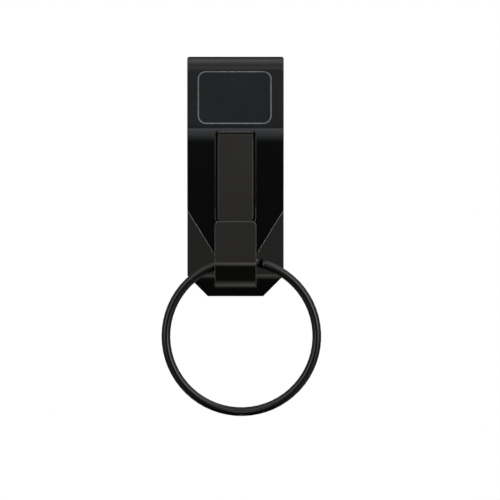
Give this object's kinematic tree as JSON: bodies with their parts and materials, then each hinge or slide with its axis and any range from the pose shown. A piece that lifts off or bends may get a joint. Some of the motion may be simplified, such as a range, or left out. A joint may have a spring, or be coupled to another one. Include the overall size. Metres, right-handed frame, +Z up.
{
  "type": "belt key clip",
  "caption": "Slip-on spring steel belt clip with a front hook, a gate tongue that closes it, and a split key ring, in gloss black.",
  "frame": {"origin": "seat of the belt's upper edge: the inner crest of the top fold, midway across the clip's width and midway between its legs", "axes": "+Z up as worn, +Y from the front panel towards the back leg and the wearer, +X to the viewer's right when looking at the front"},
  "size_m": [0.038, 0.0081, 0.0857],
  "materials": {
    "black_sheet": "gloss",
    "black_ring": "gloss"
  },
  "bodies": {
    "back": {"back_leg": "black_sheet", "top_fold": "black_sheet"},
    "front": {"front_panel": "black_sheet", "ring_hook": "black_sheet"},
    "gate": {"gate_tongue": "black_sheet"},
    "ring": {"split_ring": "black_ring"}
  },
  "joints": [
    {"name": "front_flex", "type": "hinge", "parent": "back", "child": "front", "pos_m": [0, -0.0033, -0.0025], "axis": [-1, 0, 0], "range_deg": [0, 7], "stiffness_Nm_per_rad": 0.15, "springref_deg": -1.72},
    {"name": "gate_flex", "type": "hinge", "parent": "front", "child": "gate", "pos_m": [0, -0.0025, -0.017], "axis": [1, 0, 0], "range_deg": [0, 7], "stiffness_Nm_per_rad": 0.01, "springref_deg": -2.29},
    {"name": "ring_swing", "type": "hinge", "parent": "front", "child": "ring", "pos_m": [0.0014, -0.00017, -0.04785], "axis": [-1, 0, 0], "range_deg": [-10, 85]}
  ]
}
